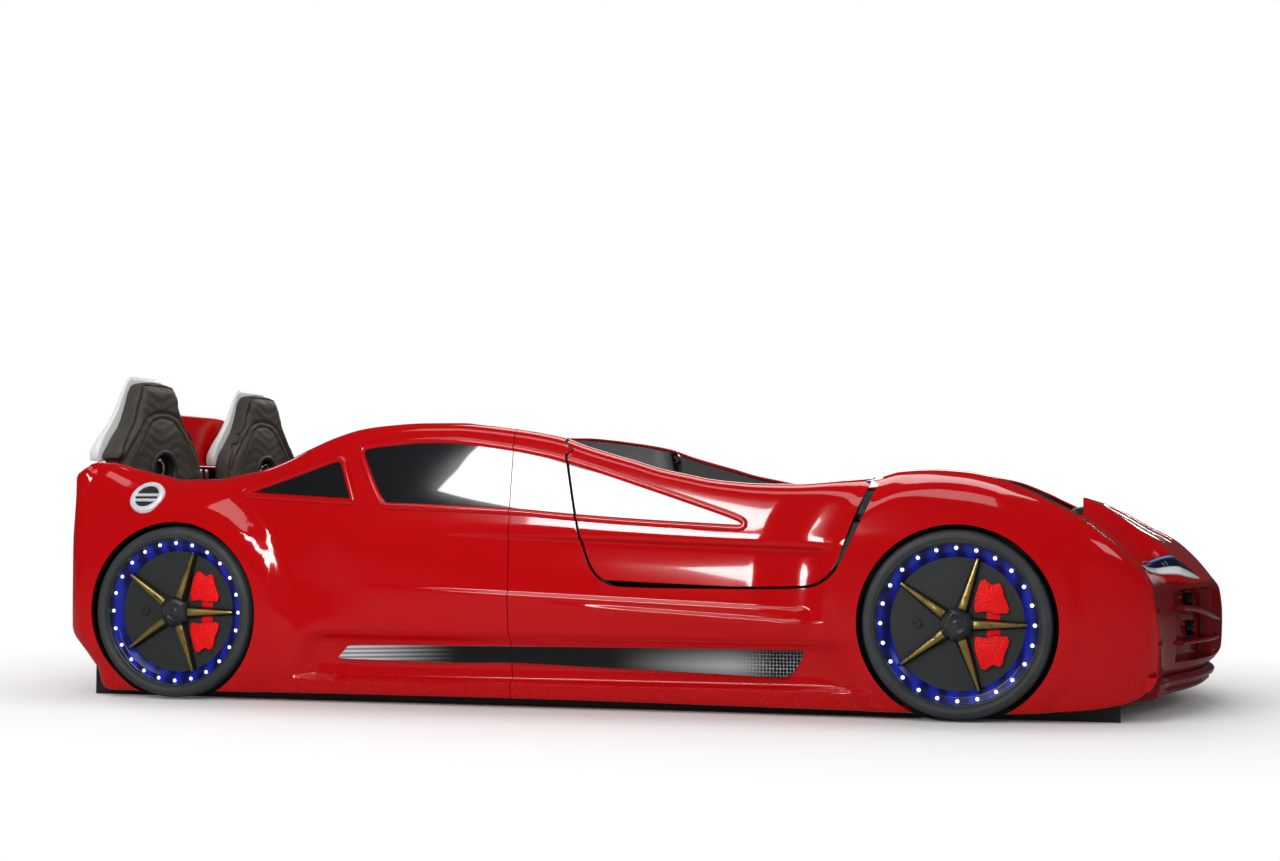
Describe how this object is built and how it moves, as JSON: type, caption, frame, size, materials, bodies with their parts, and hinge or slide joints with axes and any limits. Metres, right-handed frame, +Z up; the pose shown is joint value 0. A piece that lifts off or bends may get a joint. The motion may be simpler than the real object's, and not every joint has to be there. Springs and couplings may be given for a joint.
{
  "type": "car bed for children",
  "caption": "Low sports-car-shaped bed for a child with hinged doors, lit wheel covers, two seat-back cushions as headboard and a slatted mattress well.",
  "frame": {"origin": "on the floor, under the middle of the whole bed", "axes": "+X to the front of the car, +Z up, +Y to the car's left side"},
  "size_m": [2.386, 1.09, 0.693],
  "materials": {
    "red_gloss": "high gloss",
    "black_plastic": "fine grain",
    "black_board": "black lacquered fibreboard",
    "steel": "zinc plated",
    "black_gloss": "high gloss",
    "lamp_clear": "clear lens with white inlay",
    "bare_wood": "planed and sanded",
    "white_gloss": "gloss",
    "leather": "soft artificial leather, red stitching",
    "silver_print": "printed film, black with silver stripes",
    "lamp_red": "clear red lens",
    "caliper_red": "gloss red",
    "tyre_black": "satin black",
    "light_blue": "lit light guide",
    "gold": "metallic gold lacquer"
  },
  "bodies": {
    "bed": {"bumper": "red_gloss", "control_box": "black_plastic", "door_hinge_l": "steel", "door_hinge_r": "steel", "front_board": "black_board", "glass_mid_l": "black_gloss", "glass_mid_r": "black_gloss", "glass_rear_l": "black_gloss", "glass_rear_r": "black_gloss", "grille": "black_plastic", "headboard_panel": "red_gloss", "headlamp_l": "lamp_clear", "headlamp_r": "lamp_clear", "ledge_l": "bare_wood", "ledge_r": "bare_wood", "lower_lip": "black_plastic", "power_inlet": "steel", "rear_board": "black_board", "rear_panel": "red_gloss", "round_cap_l": "white_gloss", "round_cap_r": "white_gloss", "seat_pad_l": "leather", "seat_pad_r": "leather", "seat_shell_l": "white_gloss", "seat_shell_r": "white_gloss", "side_board_l": "black_board", "side_board_r": "black_board", "side_front_l": "red_gloss", "side_front_r": "red_gloss", "side_rear_l": "red_gloss", "side_rear_r": "red_gloss", "sill_strip_l": "silver_print", "sill_strip_r": "silver_print", "slat_base": "bare_wood", "tail_lamp_l": "lamp_red", "tail_lamp_r": "lamp_red", "wheel_front_caliper_l": "caliper_red", "wheel_front_caliper_r": "caliper_red", "wheel_front_cover_l": "tyre_black", "wheel_front_cover_r": "tyre_black", "wheel_front_light_l": "light_blue", "wheel_front_light_r": "light_blue", "wheel_front_star_l": "gold", "wheel_front_star_r": "gold", "wheel_rear_caliper_l": "caliper_red", "wheel_rear_caliper_r": "caliper_red", "wheel_rear_cover_l": "tyre_black", "wheel_rear_cover_r": "tyre_black", "wheel_rear_light_l": "light_blue", "wheel_rear_light_r": "light_blue", "wheel_rear_star_l": "gold", "wheel_rear_star_r": "gold"},
    "door_right": {"door_skin_r": "red_gloss", "glass_door_r": "black_gloss", "door_frame_r": "black_board"},
    "door_left": {"door_skin_l": "red_gloss", "glass_door_l": "black_gloss", "door_frame_l": "black_board"},
    "switch_rocker": {"rocker": "black_plastic"}
  },
  "joints": [
    {"name": "door_right_hinge", "type": "hinge", "parent": "bed", "child": "door_right", "pos_m": [0.52, -0.508, 0.38], "axis": [0, 0, 1], "range_deg": [0, 45]},
    {"name": "door_left_hinge", "type": "hinge", "parent": "bed", "child": "door_left", "pos_m": [0.52, 0.508, 0.38], "axis": [0, 0, -1], "range_deg": [0, 45]},
    {"name": "rocker_tilt", "type": "hinge", "parent": "bed", "child": "switch_rocker", "pos_m": [-1.178, 0.28, 0.2], "axis": [0, 1, 0], "range_deg": [-8, 8]}
  ]
}
